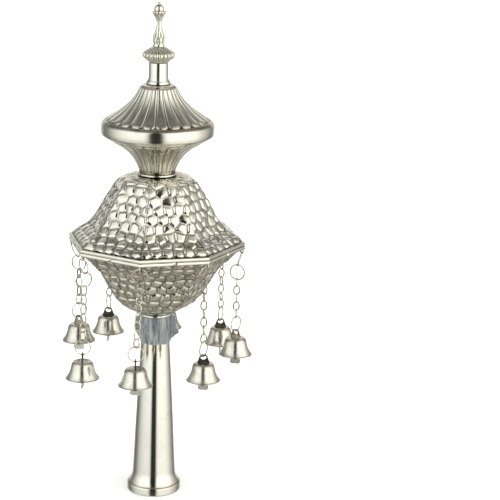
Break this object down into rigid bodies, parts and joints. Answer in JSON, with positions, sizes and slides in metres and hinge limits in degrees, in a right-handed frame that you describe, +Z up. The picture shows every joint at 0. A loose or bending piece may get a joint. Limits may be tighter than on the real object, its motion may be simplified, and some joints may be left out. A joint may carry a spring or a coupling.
{
  "type": "torah finial",
  "caption": "Tall satin nickel Torah scroll finial: hollow tapered sleeve, hammered octagonal body, fluted canopy and spire, with bells on chains under the rim.",
  "frame": {"origin": "centre of the foot's underside, on the central axis", "axes": "+Z up along the central axis to the spire; +X towards one corner of the eight-sided rim, with the other corners every 45 degrees"},
  "size_m": [0.1479, 0.1474, 0.381],
  "materials": {
    "nickel": "satin nickel plate over brass",
    "hammered_nickel": "hammered in cells, bright on the raised faces and brownish in the grooves",
    "bell_nickel": "satin nickel plate, a little dulled",
    "wire": "bright drawn wire with a slight yellow tarnish",
    "film": "thin clear film, wrinkled and glossy"
  },
  "bodies": {
    "root": {"sleeve": "nickel", "film_wrap": "film", "bowl_ring": "nickel", "bowl": "hammered_nickel", "rim_band": "nickel", "dome": "hammered_nickel", "dome_ring": "nickel", "canopy_flare": "nickel", "canopy_roof": "nickel", "neck": "nickel", "knop": "nickel", "spire": "nickel", "chain_1": "wire", "bell_1": "bell_nickel", "clapper_1": "bell_nickel", "chain_2": "wire", "bell_2": "bell_nickel", "clapper_2": "bell_nickel", "chain_3": "wire", "bell_3": "bell_nickel", "clapper_3": "bell_nickel", "chain_4": "wire", "bell_4": "bell_nickel", "clapper_4": "bell_nickel", "chain_5": "wire", "bell_5": "bell_nickel", "clapper_5": "bell_nickel", "chain_6": "wire", "bell_6": "bell_nickel", "clapper_6": "bell_nickel", "chain_7": "wire", "bell_7": "bell_nickel", "clapper_7": "bell_nickel", "chain_8": "wire", "bell_8": "bell_nickel", "clapper_8": "bell_nickel"}
  },
  "joints": []
}
